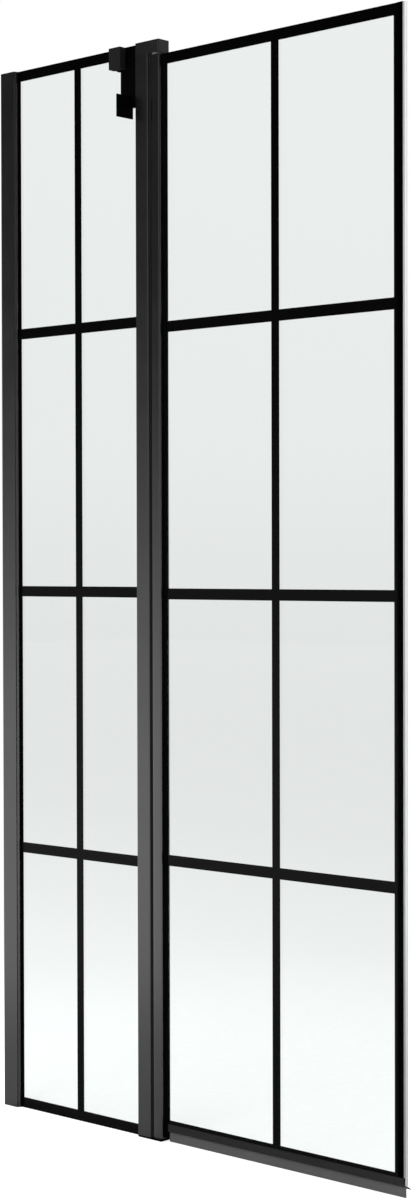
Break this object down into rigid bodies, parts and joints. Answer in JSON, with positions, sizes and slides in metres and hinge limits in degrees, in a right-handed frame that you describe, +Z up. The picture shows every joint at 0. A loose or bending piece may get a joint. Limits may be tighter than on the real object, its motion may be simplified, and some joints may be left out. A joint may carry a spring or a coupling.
{
  "type": "shower screen",
  "caption": "Shower screen with a narrow fixed glass pane by the wall, a wider glass door hinged to it on a post, black profiles and a black printed grid.",
  "frame": {"origin": "on the wall face of the wall channel, at tray level, on the middle plane of the glass", "axes": "+X from the wall along the panes, -Y towards the side with the brace bracket, +Z up"},
  "size_m": [0.9813, 0.061, 2.0012],
  "materials": {
    "black_profile": "matte",
    "black_steel": "matte",
    "stainless": "satin",
    "black_plastic": "matte",
    "clear_plastic": "satin",
    "white_plastic": "matte",
    "grey_acetal": "satin",
    "black_rubber": "matte",
    "grey_seal": "satin",
    "clear_glass": "gloss",
    "black_enamel": "gloss"
  },
  "bodies": {
    "screen_frame": {"wall_channel": "black_profile", "channel_top_cap": "black_plastic", "glass_profile": "black_profile", "adjusting_screws": "stainless", "adjusting_screw_covers": "black_plastic", "wall_glazing_gaskets": "black_rubber", "fixed_glass": "clear_glass", "fixed_glass_print": "black_enamel", "fixed_glass_packers": "white_plastic", "hinge_profile": "black_profile", "post_glazing_gaskets": "black_rubber", "barrel_seal": "black_rubber", "top_cap": "black_plastic", "top_cap_screws": "stainless", "top_pivot_pin": "stainless", "foot_plate": "black_steel", "foot_screws": "stainless", "foot_pivot_pin": "stainless", "brace_bracket": "black_steel", "brace_cover_block": "black_profile", "brace_back_plate": "black_profile", "brace_pads": "black_rubber", "brace_glass_bush": "white_plastic", "brace_bolt": "stainless"},
    "door": {"swing_profile": "black_profile", "swing_top_plug": "black_plastic", "swing_bottom_plug": "black_plastic", "top_bush": "grey_acetal", "bottom_bush": "grey_acetal", "door_glazing_gaskets": "black_rubber", "door_glass": "clear_glass", "door_glass_print": "black_enamel", "door_glass_packers": "white_plastic", "drip_seal_clip": "black_plastic", "drip_seal_lip": "grey_seal", "edge_seal": "clear_plastic"}
  },
  "joints": [
    {"name": "door_swing", "type": "hinge", "parent": "screen_frame", "child": "door", "pos_m": [0.41, 0, 0], "axis": [0, 0, 1], "range_deg": [-90, 90]}
  ]
}
